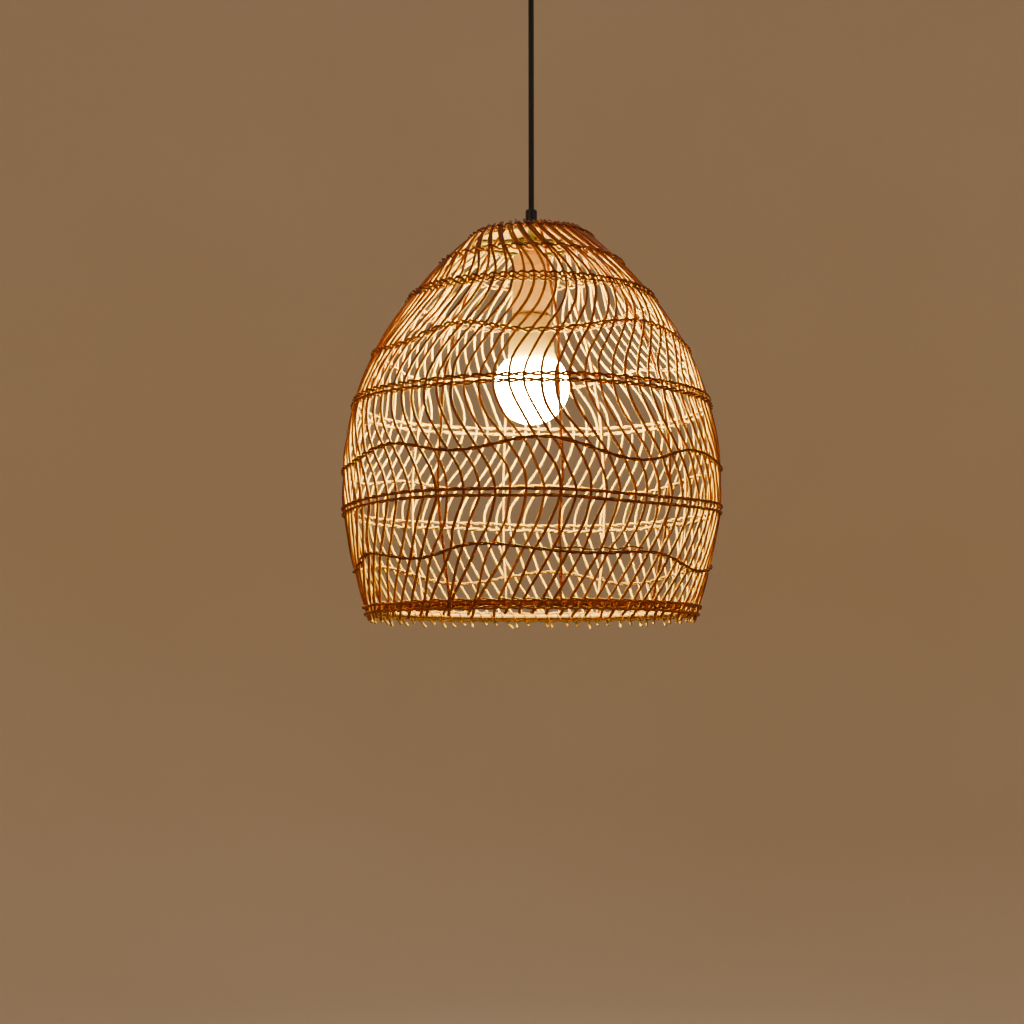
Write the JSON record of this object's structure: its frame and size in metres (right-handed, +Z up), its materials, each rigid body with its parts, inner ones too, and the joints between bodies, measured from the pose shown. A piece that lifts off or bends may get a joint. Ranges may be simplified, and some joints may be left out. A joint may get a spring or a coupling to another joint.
{
  "type": "pendant ceiling light",
  "caption": "Pendant ceiling light with a bell-shaped shade of woven rattan, a lampholder, a globe bulb and a cord to a round ceiling canopy.",
  "frame": {"origin": "middle of the two ceiling screw slots, on the face that meets the ceiling", "axes": "+Z up, away from the lamp; the lamp hangs along -Z; -Y is the side that faces the viewer"},
  "size_m": [0.4043, 0.404, 0.737],
  "materials": {
    "zinc_steel": "zinc plated, satin",
    "black_metal": "black powder coat, satin",
    "black_plastic": "fine moulded, matt",
    "white_plastic": "moulded, matt",
    "cord_sheath": "black woven textile sheath",
    "brown_core": "extruded",
    "blue_core": "extruded",
    "clear_core": "extruded",
    "holder_shell": "cream moulded, low gloss",
    "porcelain": "glazed porcelain",
    "brass": "bright brass",
    "nickel": "bright nickel plate",
    "rattan": "natural rattan core, honey, matt",
    "rattan_bark": "split rattan, darker honey, satin",
    "pale_wood": "pale plywood, matt",
    "board": "circuit board",
    "aluminium": "matt, white coated",
    "bulb_body": "cream moulded, satin",
    "opal": "opal, satin",
    "black_glass": "black glass"
  },
  "bodies": {
    "ceiling_fitting": {"mounting_bracket": "zinc_steel", "canopy": "black_metal", "canopy_screws": "black_metal", "terminal_block": "white_plastic", "terminal_screws": "zinc_steel", "ceiling_grip": "black_plastic", "ceiling_nut": "zinc_steel", "ceiling_grip_screw": "black_metal", "ceiling_cord_tail": "cord_sheath", "live_wire": "brown_core", "neutral_wire": "blue_core"},
    "cord_bend": {"cord_flex": "cord_sheath"},
    "cord": {"pendant_cord": "cord_sheath"},
    "lamp": {"cord_grip": "black_plastic", "grip_screw": "black_metal", "hollow_thread": "zinc_steel", "thread_nut": "zinc_steel", "thread_washer": "zinc_steel", "lower_cord_tail": "cord_sheath", "spider": "black_metal", "top_disc": "pale_wood", "top_ring": "black_metal", "holder_cap": "holder_shell", "holder_body": "holder_shell", "holder_insert": "porcelain", "screw_shell": "brass", "holder_contact": "brass", "holder_screws": "zinc_steel", "holder_leads": "clear_core", "ribs": "rattan_bark", "stakes_front": "rattan", "stakes_right": "rattan", "stakes_back": "rattan", "stakes_left": "rattan", "row_a": "rattan_bark", "row_b": "rattan_bark", "row_c": "rattan_bark", "row_d": "rattan_bark", "row_e": "rattan_bark", "row_f": "rattan_bark", "row_g": "rattan_bark", "rim_hoop": "rattan_bark", "rim_binding": "rattan_bark"},
    "bulb_tip": {"bulb_contact": "nickel"},
    "bulb": {"bulb_insulator": "black_glass", "bulb_cap": "nickel", "bulb_housing": "bulb_body", "driver_board": "board", "led_plate": "aluminium", "globe": "opal"}
  },
  "joints": [
    {"name": "swing_y", "type": "hinge", "parent": "ceiling_fitting", "child": "cord_bend", "pos_m": [0, 0, -0.035], "axis": [0, 1, 0], "range_deg": [-20, 20]},
    {"name": "swing_x", "type": "hinge", "parent": "cord_bend", "child": "cord", "pos_m": [0, 0, -0.035], "axis": [1, 0, 0], "range_deg": [-20, 20]},
    {"name": "lamp_turn", "type": "hinge", "parent": "cord", "child": "lamp", "pos_m": [0, 0, -0.3], "axis": [0, 0, 1], "range_deg": [-180, 180]},
    {"name": "bulb_lift", "type": "slide", "parent": "lamp", "child": "bulb_tip", "axis": [0, 0, -1], "range_m": [0, 0.03]},
    {"name": "bulb_turn", "type": "hinge", "parent": "bulb_tip", "child": "bulb", "pos_m": [0, 0, -0.39], "axis": [0, 0, -1], "range_deg": [0, 2999]}
  ],
  "couplings": [
    {"joint": "bulb_lift", "follows": "bulb_turn", "m_per_rad": 0.00057296}
  ]
}
